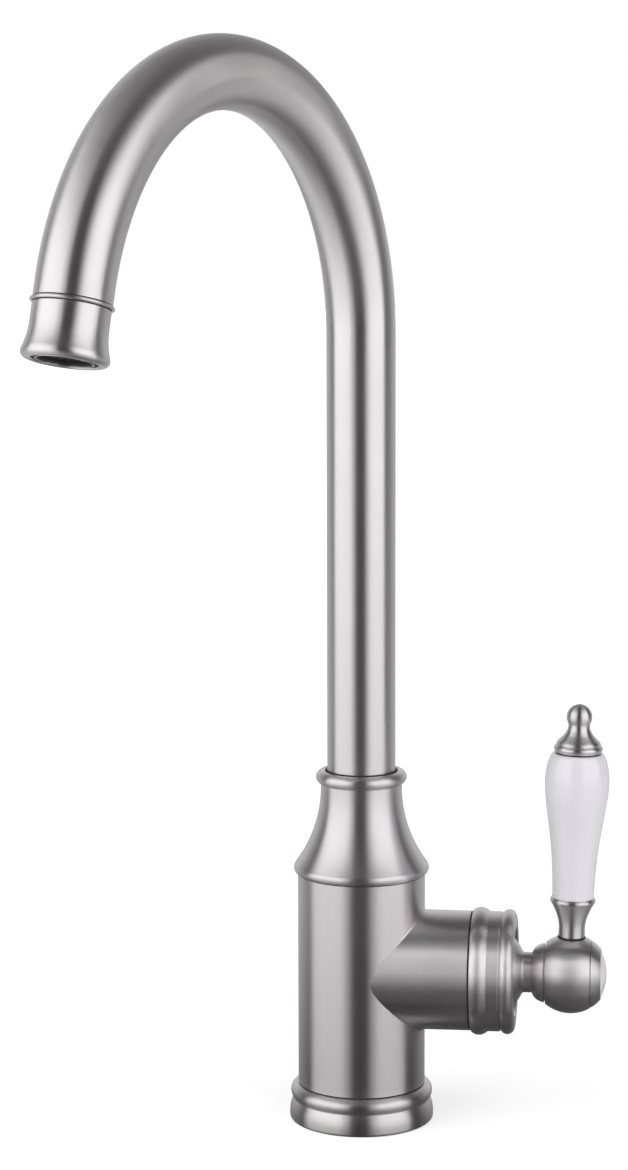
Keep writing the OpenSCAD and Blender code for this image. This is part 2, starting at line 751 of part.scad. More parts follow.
// Turned brass hub: the dome inside the cover ring, the neck, the collar and the ball
module lever_hub() {
    dome_in_r = dome_r - dome_wall;
    dome_edge = 90 - dome_half_angle;
    dome_end = acos((hub_neck_r + 0.4) / dome_r);
    neck_x = pivot_x + dome_r * sin(dome_end);
    collar_x = ball_x - 13.9;
    ball_start = -acos((hub_collar_r + 0.5) / ball_r);
    seam_x = ball_x + ball_r * sin(ball_start);
    roof = dome_top_x - pivot_x;
    color(nickel) difference() {
        on_branch() turned(concat(
            arc([0, pivot_x], dome_r, dome_edge, dome_end),
            [[hub_neck_r + 0.1, neck_x + 0.4], [hub_neck_r, neck_x + 0.8], [hub_neck_r, collar_x]],
            curve([hub_neck_r + 0.4, collar_x + 0.1], [hub_neck_r + 1.5, collar_x + 0.5],
                [hub_collar_r - 0.5, collar_x + 1.7], [hub_collar_r, seam_x - 0.5], 8),
            [[hub_collar_r - 0.4, seam_x - 0.2]],
            arc([0, ball_x], ball_r, ball_start, asin((hub_end_x - ball_x) / ball_r), 24),
            [[0, hub_end_x], [0, dome_top_x]],
            arc([0, pivot_x], dome_in_r, asin(roof / dome_in_r), dome_edge, 8)
        ));
        // Socket of the stem and the hole of its grub screw
        on_branch() {
            translate([-stem_t / 2 - seat, -stem_w / 2 - seat, dome_top_x - 1])
                cube([stem_t + 2 * seat, stem_w + 2 * seat, stem_end_x - dome_top_x + 1.5]);
            translate([0, 0, screw_x]) rotate([0, -90, 0]) bar(screw_r + seat, 0, 15);
            bar(end_thread_r + seat, hub_end_x - end_thread_h - 0.2, hub_end_x + 1);
        }
        on_lever() bar(rod_r + seat, -rod_r, ball_r + 1);
    }
}

// Screw that locks the hub on the stem, with a hexagon socket
module hub_grub_screw() {
    color(steel) on_branch() translate([0, 0, screw_x]) rotate([0, -90, 0]) difference() {
        bar(screw_r, stem_t / 2, hub_neck_r - 0.6);
        translate([0, 0, hub_neck_r - 2.5]) cylinder(r = 1.15, h = 4, $fn = 6);
    }
}

// End of the hub, screwed in where it carries on the curve of the ball, with a seat for the button
module hub_end_ring() {
    seam_angle = asin((hub_end_x + 0.3 - ball_x) / ball_r);
    color(nickel) on_branch() turned(concat(
        [[0, hub_end_x - end_thread_h], [end_thread_r, hub_end_x - end_thread_h], [end_thread_r, hub_end_x]],
        [[ball_r * cos(seam_angle) - 0.5, hub_end_x]],
        arc([0, ball_x], ball_r, seam_angle, acos(ring_face_r / ball_r), 10),
        [[button_r + 0.4, ring_end_x], [button_r + 0.1, ring_end_x - 0.3]],
        [[button_r + 0.1, button_x], [0, button_x]]
    ));
}

// Glazed porcelain button, left bare
module index_button() {
    dome = arc_r(button_dome_h, button_r);
    top = button_x + button_edge_h + button_dome_h;
    color(glazed_white) on_branch() turned(concat(
        [[0, button_x], [button_r, button_x]],
        arc([0, top - dome], dome, acos(button_r / dome), 90)
    ));
}

// Turned trumpet that seats the grip on the ball
module lever_ferrule() {
    rim_foot = ferrule_top - 2.6;
    color(nickel) on_lever() difference() {
        turned(concat(
            [[rod_r + seat, ball_r - 3], [ferrule_r, ball_r - 3]],
            curve([ferrule_r, ball_r + 3], [ferrule_r + 0.1, ball_r + 6.5],
                [ferrule_rim_r - 2, rim_foot - 2.5], [ferrule_rim_r - 0.7, rim_foot]),
            arc([ferrule_rim_r - 1.2, ferrule_top - 1.2], 1.2, -35, 90, 8),
            [[grip_foot_r + 0.1, ferrule_top], [grip_foot_r + 0.1, ferrule_floor]],
            [[rod_r + seat, ferrule_floor]]
        ));
        sphere(r = ball_r + seat / 2);
    }
}

// Soft rings that keep the porcelain off the metal
module grip_washers() {
    color(black_rubber) on_lever() {
        ring(grip_foot_r - 0.2, rod_r + 0.3, ferrule_floor, grip_foot);
        ring(finial_r - 0.8, rod_r + 0.3, grip_top, finial_foot);
    }
}

// Glazed porcelain grip, bored for the rod: a long taper that swells before its top
module porcelain_grip() {
    top_r = finial_r + 0.4;
    waist = grip_foot + 0.8 * grip_len;
    color(glazed_white) on_lever() turned(concat(
        [[rod_r + gap, grip_foot], [grip_foot_r - 0.4, grip_foot]],
        curve([grip_foot_r, grip_foot + 0.4], [grip_foot_r + 0.3, grip_foot + 0.43 * grip_len],
            [grip_r, grip_foot + 0.62 * grip_len], [grip_r, waist], 22),
        curve([grip_r, waist + 0.4], [grip_r, waist + 4], [top_r + 1.5, grip_top - 1.7],
            [top_r, grip_top - 0.2], 10),
        [[top_r - 0.3, grip_top], [rod_r + gap, grip_top]]
    ));
}

// Steel rod that clamps the grip between the ball and the finial
module tie_rod() {
    color(steel) on_lever() bar(rod_r, seat - rod_r, finial_foot + 9);
}

// Turned cap nut on top of the grip: a skirt, a slender neck and a small ball
module finial() {
    ball_z = finial_foot + 12.8;
    neck = 3.95;
    color(nickel) on_lever() turned(concat(
        [[rod_r + seat, finial_foot], [finial_r - 0.4, finial_foot]],
        arc([finial_r - 1.3, finial_foot + 1.3], 1.3, -45, 55, 8),
        [[finial_r - 0.9, finial_foot + 2.7], [finial_r - 0.9, finial_foot + 2.9]],
        curve([finial_r - 0.8, finial_foot + 3.1], [finial_r - 1.2, finial_foot + 4.2],
            [neck + 2.6, finial_foot + 4.8], [neck + 1.6, finial_foot + 6], 8),
        curve([neck + 1.5, finial_foot + 6.1], [neck + 0.7, finial_foot + 7.2],
            [neck, finial_foot + 8.4], [neck, finial_foot + 9.6], 8),
        arc([0, ball_z], finial_ball_r, -acos(neck / finial_ball_r), 90, 20),
        [[0, finial_foot + 9.3], [rod_r + seat, finial_foot + 9.3]]
    ));
}

tap_body();
base_ring();
base_seal();
shoulder_collar();
spout_tube();
spout_bush();
spout_o_rings();
spout_snap_ring();
spout_slip_ring();
outlet_cup();
aerator_housing();
aerator_insert();
aerator_screen();
aerator_washer();
cartridge_base();
cartridge_seals();
cartridge_housing();
fixed_disc();
moving_disc();
disc_carrier();
cartridge_rotor();
stem_pin();
cartridge_stem();
cartridge_nut();
cover_ring();
lever_hub();
hub_grub_screw();
hub_end_ring();
index_button();
lever_ferrule();
grip_washers();
porcelain_grip();
tie_rod();
finial();
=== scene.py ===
from math import acos, asin, atan2, cos, degrees, hypot, pi, radians, sin, sqrt, tau

import bmesh
import bpy
from mathutils import Matrix, Vector


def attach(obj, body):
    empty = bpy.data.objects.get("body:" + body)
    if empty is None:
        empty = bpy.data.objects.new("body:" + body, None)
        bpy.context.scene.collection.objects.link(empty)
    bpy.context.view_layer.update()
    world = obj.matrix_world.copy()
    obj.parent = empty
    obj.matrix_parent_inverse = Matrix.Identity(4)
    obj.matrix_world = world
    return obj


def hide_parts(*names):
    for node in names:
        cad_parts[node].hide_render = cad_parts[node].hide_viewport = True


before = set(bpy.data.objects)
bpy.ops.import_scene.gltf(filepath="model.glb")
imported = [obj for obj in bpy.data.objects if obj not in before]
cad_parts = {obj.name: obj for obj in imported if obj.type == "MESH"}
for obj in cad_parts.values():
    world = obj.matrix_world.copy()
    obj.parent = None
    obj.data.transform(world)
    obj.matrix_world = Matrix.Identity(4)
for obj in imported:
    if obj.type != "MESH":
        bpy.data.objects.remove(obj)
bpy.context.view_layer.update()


# Base ring
# Turned brass ring between the body and the deck: a swelling foot, a groove and a half-round
# bead. It is nickel plated, then brushed round on the lathe, and slips over the spigot of the
# body, where its rubber seal lies in a groove of its underside.
def arc(middle, radius, start, end, steps):
    """Points along an arc of an outline, between two angles in degrees."""
    turn = [radians(start + (end - start) * i / steps) for i in range(steps + 1)]
    return [(middle[0] + radius * cos(a), middle[1] + radius * sin(a)) for a in turn]


def nearest_turn(angle, side):
    """The same angle, moved by whole turns to lie beside another."""
    return angle + tau * round((side - angle) / tau)


def brushed_round(work, run):
    """Lays the UV map brush on a turned shape: the run in centimetres, then turns round it."""
    brush = work.loops.layers.uv.new("brush")
    for face in work.faces:
        middle = face.calc_center_median()
        side = atan2(middle.y, middle.x)
        for corner in face.loops:
            x, y = corner.vert.co.xy
            angle = atan2(y, x) if hypot(x, y) > 0.01 else side
            corner[brush].uv = (run(corner.vert) / 10, nearest_turn(angle, side) / tau)


def turned(name, outline, place=Matrix(), ease=0.2, turns=192):
    """Turns an outline of (radius, distance along the axis) points, in millimetres.

    Corners of more than 24 degrees are eased first. The brushing's run follows the outline."""
    work = bmesh.new()
    along = work.verts.layers.float.new("along")
    rim = [work.verts.new((radius, 0, height)) for radius, height in outline]
    open_ends = max(outline[0][0], outline[-1][0]) < 1e-6
    for first, second in zip(rim, rim[1:] if open_ends else rim[1:] + rim[:1]):
        work.edges.new((first, second))
    corners = []
    for before, vert, after in zip(rim[-1:] + rim[:-1], rim, rim[1:] + rim[:1]):
        bend = (vert.co - before.co).angle(after.co - vert.co)
        if vert.co.x > 1e-6 and bend > radians(24):
            corners.append(vert)
    bmesh.ops.bevel(work, geom=corners, offset=ease, segments=3, affect="VERTICES", profile=0.5,
                    material=-1, clamp_overlap=True)
    begin = Vector((outline[0][0], 0, outline[0][1]))
    vert = first = min(work.verts, key=lambda v: (v.co - begin).length)
    edge, run = None, 0
    while True:
        vert[along] = run
        onward = [e for e in vert.link_edges if e != edge]
        if not onward:
            break
        edge = onward[0]
        run += edge.calc_length()
        vert = edge.other_vert(vert)
        if vert == first:
            break
    bmesh.ops.spin(work, geom=work.verts[:] + work.edges[:], cent=(0, 0, 0), axis=(0, 0, 1),
                   dvec=(0, 0, 0), angle=tau, steps=turns, use_merge=True)
    bmesh.ops.remove_doubles(work, verts=work.verts[:], dist=1e-4)
    brushed_round(work, lambda v: v[along])
    return finished(name, work, place)


def crisp(mesh):
    """Keeps the edges of a mesh crisp where it bends by more than 50 degrees."""
    mesh.set_sharp_from_angle(angle=radians(50))


def finished(name, work, place=Matrix()):
    """Makes a piece of a mesh in millimetres, with its place in its mesh and shaded smooth."""
    bmesh.ops.recalc_face_normals(work, faces=work.faces[:])
    work.transform(place @ Matrix.Scale(0.001, 4))
    for face in work.faces:
        face.smooth = True
    mesh = bpy.data.meshes.new(name)
    work.to_mesh(mesh)
    work.free()
    crisp(mesh)
    piece = bpy.data.objects.new(name, mesh)
    bpy.context.scene.collection.objects.link(piece)
    piece.modifiers.new("even_shading", "WEIGHTED_NORMAL").keep_sharp = True
    return piece


def new_finish(name):
    """A new finish, its node tree, its shader and the spot on the piece that its nodes read."""
    finish = bpy.data.materials.new(name)
    finish.use_nodes = True
    tree = finish.node_tree
    spot = tree.nodes.new("ShaderNodeTexCoord").outputs["Object"]
    return finish, tree, tree.nodes["Principled BSDF"], spot


def noise(tree, spot, scale, detail):
    """Soft noise over a piece, finer with a larger scale."""
    grain = tree.nodes.new("ShaderNodeTexNoise")
    grain.inputs["Scale"].default_value = scale
    grain.inputs["Detail"].default_value = detail
    tree.links.new(spot, grain.inputs["Vector"])
    return grain


def ranged(tree, value, limits, kind="LINEAR"):
    """Carries a value from one range, low and high, over to another."""
    span = tree.nodes.new("ShaderNodeMapRange")
    span.interpolation_type = kind
    for field, limit in zip(("From Min", "From Max", "To Min", "To Max"), limits):
        span.inputs[field].default_value = limit
    tree.links.new(value, span.inputs["Value"])
    return span.outputs["Result"]


def two_tone(tree, share, colour, dark, light):
    """A colour that wanders between a darker and a lighter tone of itself."""
    tone = tree.nodes.new("ShaderNodeMix")
    tone.data_type = "RGBA"
    tone.inputs["A"].default_value = [c * dark for c in colour] + [1]
    tone.inputs["B"].default_value = [min(1, c * light) for c in colour] + [1]
    tree.links.new(share, tone.inputs["Factor"])
    return tone.outputs["Result"]


def relief(tree, height, strength, depth):
    """Fine relief of a surface, with its depth in metres."""
    bump = tree.nodes.new("ShaderNodeBump")
    bump.inputs["Strength"].default_value = strength
    bump.inputs["Distance"].default_value = depth
    tree.links.new(height, bump.inputs["Height"])
    return bump.outputs["Normal"]


def brushed_nickel(name, colour, roughness):
    """Satin nickel plate with fine lines that run round the piece."""
    finish, tree, metal, spot = new_finish(name)
    metal.inputs["Metallic"].default_value = 1
    metal.inputs["Anisotropic"].default_value = 0.88
    lay = tree.nodes.new("ShaderNodeTangent")
    lay.direction_type = "UV_MAP"
    lay.uv_map = "brush"
    tree.links.new(lay.outputs["Tangent"], metal.inputs["Tangent"])
    chart = tree.nodes.new("ShaderNodeUVMap")
    chart.uv_map = "brush"
    across = tree.nodes.new("ShaderNodeSeparateXYZ")
    tree.links.new(chart.outputs["UV"], across.inputs["Vector"])
    pitch = tree.nodes.new("ShaderNodeMath")
    pitch.operation = "MULTIPLY"
    pitch.inputs[1].default_value = 1.6
    tree.links.new(across.outputs["X"], pitch.inputs[0])
    lines = noise(tree, spot, 30, 4)
    lines.noise_dimensions = "4D"
    tree.links.new(pitch.outputs["Value"], lines.inputs["W"])
    half_cloud = tree.nodes.new("ShaderNodeMath")
    half_cloud.operation = "MULTIPLY"
    half_cloud.inputs[1].default_value = 0.5
    tree.links.new(noise(tree, spot, 45, 3).outputs["Fac"], half_cloud.inputs[0])
    both = tree.nodes.new("ShaderNodeMath")
    both.operation = "MULTIPLY_ADD"
    both.inputs[1].default_value = 0.5
    tree.links.new(lines.outputs["Fac"], both.inputs[0])
    tree.links.new(half_cloud.outputs["Value"], both.inputs[2])
    share = both.outputs["Value"]
    tree.links.new(two_tone(tree, share, colour, 0.95, 1.05), metal.inputs["Base Color"])
    satin = ranged(tree, share, (0.3, 0.7, roughness - 0.05, roughness + 0.05))
    tree.links.new(satin, metal.inputs["Roughness"])
    tree.links.new(relief(tree, lines.outputs["Fac"], 0.6, 0.000004), metal.inputs["Normal"])
    return finish


nickel = brushed_nickel("brushed_nickel", (0.735, 0.705, 0.712), 0.37)
base_ring = turned("turned_base_ring", [
    (20.05, 13.4), (20.05, 0), (20.95, 0), (20.95, 2.4), (24.45, 2.4), (24.45, 0),
    *arc((25.4, 1.2), 1.2, -90, 0, 6),
    *arc((14.956, 2.4), 11.644, 0, 27.86, 8),
    *arc((23.2, 10.4), 3, -46, 90, 16),
])
base_ring.data.materials.append(nickel)
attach(base_ring, "tap")
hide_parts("base_ring")


# Base seal
# Flat ring of black rubber, moulded, that lies in the groove under the base ring and seals it
# on the deck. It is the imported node, with a fine powdery bloom on its matte skin.
def moulded(name, colour, roughness, grain, depth, specks=0.25):
    """Rubber or plastic with a fine moulded grain and a little unevenness of tone."""
    finish, tree, body, spot = new_finish(name)
    fine = noise(tree, spot, grain, 5).outputs["Fac"]
    broad = noise(tree, spot, grain / 14, 2).outputs["Fac"]
    tree.links.new(two_tone(tree, broad, colour, 1 - specks, 1 + specks), body.inputs["Base Color"])
    sheen = ranged(tree, fine, (0, 1, roughness - 0.12, roughness + 0.12))
    tree.links.new(sheen, body.inputs["Roughness"])
    tree.links.new(relief(tree, fine, 0.5, depth), body.inputs["Normal"])
    return finish


def finish_node(node, finish):
    """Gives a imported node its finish."""
    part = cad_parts[node]
    part.data.materials.clear()
    part.data.materials.append(finish)


rubber = moulded("black_rubber", (0.022, 0.022, 0.023), 0.68, 2600, 0.00003, specks=0.4)
finish_node("base_seal", rubber)


# Body
# Cast brass body: the upright cylinder, its spigot and its necks, with the branch for the
# cartridge cast on. It is bored from below for the hoses and the stud, ground smooth and a little
# wide where the branch runs in, nickel plated and brushed round both cylinders.
def drilled(piece, *holes):
    """Drills upright holes of (x, y, middle height, radius, half length) in millimetres."""
    for x, y, middle, radius, half in holes:
        work = bmesh.new()
        work.loops.layers.uv.new("brush")
        bmesh.ops.create_cone(work, cap_ends=True, segments=96, radius1=radius, radius2=radius,
                              depth=2 * half, matrix=Matrix.Translation((x, y, middle)), calc_uvs=True)
        drill = finished("drill", work)
        drill.modifiers.clear()
        hole = piece.modifiers.new("hole", "BOOLEAN")
        hole.operation = "DIFFERENCE"
        hole.object = drill
        hole.solver = "EXACT"
        piece.modifiers["even_shading"].show_viewport = False
        ready = bpy.context.evaluated_depsgraph_get()
        bored = bpy.data.meshes.new_from_object(piece.evaluated_get(ready))
        piece.modifiers["even_shading"].show_viewport = True
        piece.modifiers.remove(hole)
        crisp(bored)
        piece.data = bored
        bpy.data.objects.remove(drill)
    piece.data.materials.clear()


def shifted(x, y, z):
    """A shift, given in millimetres."""
    return Matrix.Translation(Vector((x, y, z)) / 1000)


body_r = 23.4
hose_hole, stud_hole = (4.5, 12), (3.4, 16)
column = turned("body_column", [
    (0, 80.65), (10.5, 80.65), (10.5, 117.5), (12.9, 117.5), (12.9, 101.2), (19, 101.2),
    (19, 93.2), (23, 93.2), (23, 92.7), (body_r, 92.7), (body_r, 13.9), (23, 13.9), (23, 13.4),
    (20, 13.4), (20, 0), (0, 0),
], ease=0.1, turns=256)
drilled(column, (6, -8.5, 0, *hose_hole), (6, 8.5, 0, *hose_hole), (-11, 0, 0, *stud_hole))
column.data.materials.append(nickel)
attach(column, "tap")
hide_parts("tap_body")

branch_z, branch_r, fillet, root_widening, root_steps = 56.8, 21.9, 0.6, 1.037, 8
on_branch = shifted(0, 0, branch_z) @ Matrix.Rotation(pi / 2, 4, "Y") @ Matrix.Rotation(pi, 4, "Z")
work = bmesh.new()
ring_number = work.verts.layers.int.new("ring_number")
outline = [
    (0, 16), (17.7, 16), (17.7, 30.4), (19.3, 30.4), (19.3, 38.5), (20.85, 38.5), (20.85, 40.8),
    (21.05, 41), (21.4, 41), (21.5, 40.9), (21.5, 40.5), (21.8, 40.5), (21.87, 40.47),
    (branch_r, 40.4), (branch_r, 36), *[(branch_r, 30)] * (root_steps + 1), (14, 10), (0, 10),
]
rim = [work.verts.new((radius, 0, height)) for radius, height in outline]
for i, vert in enumerate(rim):
    vert[ring_number] = i
    if i:
        work.edges.new((rim[i - 1], vert))
bmesh.ops.spin(work, geom=work.verts[:] + work.edges[:], cent=(0, 0, 0), axis=(0, 0, 1),
               dvec=(0, 0, 0), angle=tau, steps=256, use_merge=True)
# The rings of the root follow a ball that rolls in the corner between the two cylinders.
root = outline.index((branch_r, 30))
for vert in work.verts:
    if root <= vert[ring_number] <= root + root_steps:
        side = atan2(vert.co.y, vert.co.x)
        ball = Vector((cos(side), root_widening * sin(side), 0)) * (branch_r + fillet)
        ball.z = sqrt((body_r + fillet) ** 2 - ball.y ** 2)
        to_branch = Vector((-cos(side), -sin(side), 0))
        to_body = -Vector((0, ball.y, ball.z)) / (body_r + fillet)
        share = (vert[ring_number] - root) / root_steps
        vert.co = ball + fillet * to_branch.slerp(to_body, share)
bmesh.ops.remove_doubles(work, verts=work.verts[:], dist=1e-4)
brushed_round(work, lambda v: v.co.z + hypot(v.co.x, v.co.y) - branch_r)
branch = finished("body_branch", work, on_branch)
branch.data.materials.append(nickel)
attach(branch, "tap")
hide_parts("tap_body")


# Shoulder collar
# Turned brass collar screwed on the body round the neck of the spout: a rounded lip, a hollow
# bell that sweeps in, and a bead at its top. It is nickel plated and brushed on the lathe.
def arc_radius(rise, half):
    """Radius of the arc that rises by one length over half a chord."""
    return (half * half + rise * rise) / (2 * rise)


lip_half, bell_half, bell_top_r = 1.7, 28.5, 14.9
lip = arc_radius(0.75, lip_half)
lip_turn = degrees(asin(lip_half / lip))
bell = arc_radius(24.25 - bell_top_r, bell_half)
collar = turned("turned_collar", [
    (17.65, 101.6), (19.05, 101.6), (19.05, 93.2),
    *arc((24.85 - lip, 94.9), lip, -lip_turn, lip_turn, 10),
    *arc((bell_top_r + bell, 125.1), bell, 180 + degrees(asin(bell_half / bell)), 180, 32),
    (bell_top_r, 126.35),
    *arc((14.25, 128.75), 2.45, -74.6, 126.3, 22),
    (12.8, 117.8), (13.3, 117.8), (13.3, 112.2),
], ease=0.15)
collar.data.materials.append(nickel)
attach(collar, "tap")
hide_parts("shoulder_collar")


# Riser shade ring
# Thin ring of black rubber in the mouth of the collar, moulded and pressed in over the bead of the
# collar. It is painted shade: a dark ring where the gap round the foot of the riser falls in shadow.
riser_shade = turned("riser_shade_ring", [
    (12.51, 129.8), (12.79, 129.8), (12.79, 130.9), (13.3, 131.05), (13.3, 131.25), (12.51, 131.5),
], ease=0.06)
riser_shade.data.materials.append(rubber)
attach(riser_shade, "tap")


# Seam rings of the body
# Three hair-thin rings of black rubber lie in the fine grooves under the collar, over the base ring
# and at the cover ring. They are painted shade: dark rings where the grooves fall in shadow.
for name, inner, low, high, place in (("collar_seam_shade_ring", 23.01, 92.72, 93.19, Matrix()),
                                      ("base_seam_shade_ring", 23.01, 13.41, 13.88, Matrix()),
                                      ("cover_seam_shade_ring", 21.51, 40.52, 41.19, on_branch)):
    outer = inner + 0.28
    seam_shade_ring = turned(name, [(inner, low), (outer, low), (outer, high), (inner, high)], place, ease=0.05)
    seam_shade_ring.data.materials.append(rubber)
    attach(seam_shade_ring, "tap")


# Spout tube
# Drawn brass tube, 25 mm across with a 1 mm wall, bent cold through 165 degrees and left
# straight at both ends. It is nickel plated and polished round with a fine belt.
on_spout = Matrix.Rotation(radians(246.9), 4, "Z")
tube_r, wall, foot_z, bend_z, tail = 12.5, 1, 120.15, 290.3, 4.2
bend_r, bend_angle = 91, radians(165)
riser_steps, bend_steps = 12, 120
work = bmesh.new()
bmesh.ops.create_circle(work, segments=128, radius=tube_r, matrix=Matrix.Translation((0, 0, foot_z)))
ring = work.edges[:]
for _ in range(riser_steps):
    grown = bmesh.ops.extrude_edge_only(work, edges=ring)["geom"]
    tops = [part for part in grown if isinstance(part, bmesh.types.BMVert)]
    bmesh.ops.translate(work, verts=tops, vec=(0, 0, (bend_z - foot_z) / riser_steps))
    ring = [part for part in grown
            if isinstance(part, bmesh.types.BMEdge) and set(part.verts) <= set(tops)]
ends = bmesh.ops.spin(work, geom=ring, cent=(bend_r, 0, bend_z), axis=(0, 1, 0), dvec=(0, 0, 0),
                      angle=bend_angle, steps=bend_steps, use_merge=False)["geom_last"]
ring = [part for part in ends if isinstance(part, bmesh.types.BMEdge)]
grown = bmesh.ops.extrude_edge_only(work, edges=ring)["geom"]
tops = [part for part in grown if isinstance(part, bmesh.types.BMVert)]
bmesh.ops.translate(work, verts=tops, vec=Vector((sin(bend_angle), 0, cos(bend_angle))) * tail)
bmesh.ops.remove_doubles(work, verts=work.verts[:], dist=1e-4)
bmesh.ops.recalc_face_normals(work, faces=work.faces[:])
bmesh.ops.solidify(work, geom=work.faces[:], thickness=wall)
brush = work.loops.layers.uv.new("brush")


def on_tube(point):
    """How far along the tube a point lies, and its angle round the tube."""
    swing = atan2(point.z - bend_z, bend_r - point.x)
    if point.z <= bend_z and swing < 1:
        return point.z, atan2(point.y, point.x)
    swing = min(swing if swing > 0 else swing + tau, bend_angle)
    heading = Vector((bend_r - bend_r * cos(swing), 0, bend_z + bend_r * sin(swing)))
    inward = Vector((cos(swing), 0, -sin(swing)))
    return bend_z + bend_r * swing, atan2(point.y, (point - heading).dot(inward))


for face in work.faces:
    side = on_tube(face.calc_center_median())[1]
    for corner in face.loops:
        run, angle = on_tube(corner.vert.co)
        corner[brush].uv = (run / 10, nearest_turn(angle, side) / tau)
tube = finished("spout_tube_bent", work, on_spout)
tube.data.materials.append(nickel)
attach(tube, "spout")
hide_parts("spout_tube")


# Spout bush
# Turned brass fitting brazed into the foot of the tube, which turns in the body. It is the
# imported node, left unplated, with the fine spiral lines of the lathe tool.
def machined(name, colour, roughness, axis, pitch):
    """Bare metal as it leaves the lathe, with tool lines across one axis."""
    finish, tree, metal, spot = new_finish(name)
    metal.inputs["Metallic"].default_value = 1
    drawn_out = tree.nodes.new("ShaderNodeMapping")
    drawn_out.inputs["Scale"].default_value = [pitch if i == axis else 60 for i in range(3)]
    tree.links.new(spot, drawn_out.inputs["Vector"])
    lines = noise(tree, drawn_out.outputs["Vector"], 1, 4).outputs["Fac"]
    tree.links.new(two_tone(tree, lines, colour, 0.86, 1.08), metal.inputs["Base Color"])
    dull = ranged(tree, lines, (0, 1, roughness - 0.1, roughness + 0.1))
    tree.links.new(dull, metal.inputs["Roughness"])
    tree.links.new(relief(tree, lines, 0.6, 0.00001), metal.inputs["Normal"])
    return finish


brass_colour = (0.78, 0.60, 0.30)
turned_brass = machined("turned_brass", brass_colour, 0.34, 2, 6000)
finish_node("spout_bush", turned_brass)


# Sealing rings, snap ring and slip ring of the spout
# Two rubber rings in the grooves of the bush, the split spring-steel ring that holds the spout
# down, and the slippery plastic washer under the flange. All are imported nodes.
spring_steel = machined("spring_steel", (0.52, 0.53, 0.55), 0.30, 2, 4000)
slip_plastic = moulded("slip_plastic", (0.78, 0.78, 0.74), 0.42, 1800, 0.00001, specks=0.05)
finish_node("spout_o_rings", rubber)
finish_node("spout_snap_ring", spring_steel)
finish_node("spout_slip_ring", slip_plastic)


# Outlet cup
# Turned brass cup on the end of the tube: a fine bead between two seams of black rubber, a waist
# and a flared, rounded lip round the threaded mouth. It is plated and brushed with the tube. The
# two black seams are painted shade, dark rings where the grooves beside the bead fall in shadow.
on_bend_end = (on_spout @ shifted(bend_r, 0, bend_z) @ Matrix.Rotation(bend_angle, 4, "Y")
               @ shifted(-bend_r, 0, 0))
on_outlet = on_bend_end @ shifted(0, 0, tail)
waist_r, flare_start, flare_end = 12.4, 7.68, 16.4
flare_rise, flare_run = 13.9 - waist_r, flare_end - flare_start
flare = arc_radius(flare_rise, flare_run)
flare_turn = degrees(asin(flare_run / flare))
cup = turned("outlet_cup_turned", [
    (9.5, 7), (9.5, -6), (11.45, -6), (11.45, 0), (11.9, 0), (11.95, 0.35),
    *arc((12.67, 0.95), 0.6, -110, 110, 14),
    (11.95, 1.55), (11.95, 1.85), (waist_r, 1.9),
    *arc((waist_r + flare, flare_start), flare, 180, 180 - flare_turn, 14),
    *arc((12.1, 17.3), 1.9, 0, 90, 8),
    (11, 19.2), (10.6, 18.8), (10.6, 7),
], on_outlet, ease=0.08)
cup.data.materials.append(nickel)
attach(cup, "spout")
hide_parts("outlet_cup")
# Painted shade: black rings in the seams either side of the bead, where they fall in shadow.
for name, low, high in (("cup_upper_seam_shade", 0.02, 0.34), ("cup_lower_seam_shade", 1.56, 1.84)):
    cup_seam_shade = turned(name, [(11.97, low), (12.35, low), (12.35, high), (11.97, high)], on_outlet,
                      ease=0.05)
    cup_seam_shade.data.materials.append(rubber)
    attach(cup_seam_shade, "spout")


# Aerator
# Plated brass shell screwed into the mouth with a black ring round it, painted shade in the gap
# between the shell and the cup. It holds a plastic honeycomb with a raised rim, a perforated steel
# disc above that and a rubber washer behind, and it is turned smooth and left brighter than the cup.
bright_plate = brushed_nickel("bright_plate", (0.72, 0.70, 0.70), 0.2)
shell = turned("aerator_shell", [
    (8.95, 8.2), (10.55, 8.2), (10.55, 16), (9.3, 16.4), (9.3, 18.95), (9.25, 19), (9, 19),
    (8.95, 18.95),
], on_outlet, ease=0.04, turns=128)
shell.data.materials.append(bright_plate)
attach(shell, "spout")
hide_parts("aerator_housing")
# Painted shade: a black ring in the gap between the shell and the mouth of the cup.
gap_shade_ring = turned("aerator_gap_shade_ring", [
    (9.32, 16.6), (10.58, 16.6), (10.58, 18.8), (9.32, 18.8),
], on_outlet, ease=0.1, turns=128)
gap_shade_ring.data.materials.append(rubber)
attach(gap_shade_ring, "spout")
comb_plastic = moulded("comb_plastic", (0.03, 0.03, 0.032), 0.4, 2200, 0.00001, specks=0.1)
comb_rim = turned("aerator_comb_rim", [
    (8.5, 17.45), (8.93, 17.45), (8.93, 18.75), (8.5, 18.6),
], on_outlet, ease=0.1, turns=128)
comb_rim.data.materials.append(comb_plastic)
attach(comb_rim, "spout")
finish_node("aerator_insert", comb_plastic)
finish_node("aerator_screen", spring_steel)
finish_node("aerator_washer", rubber)


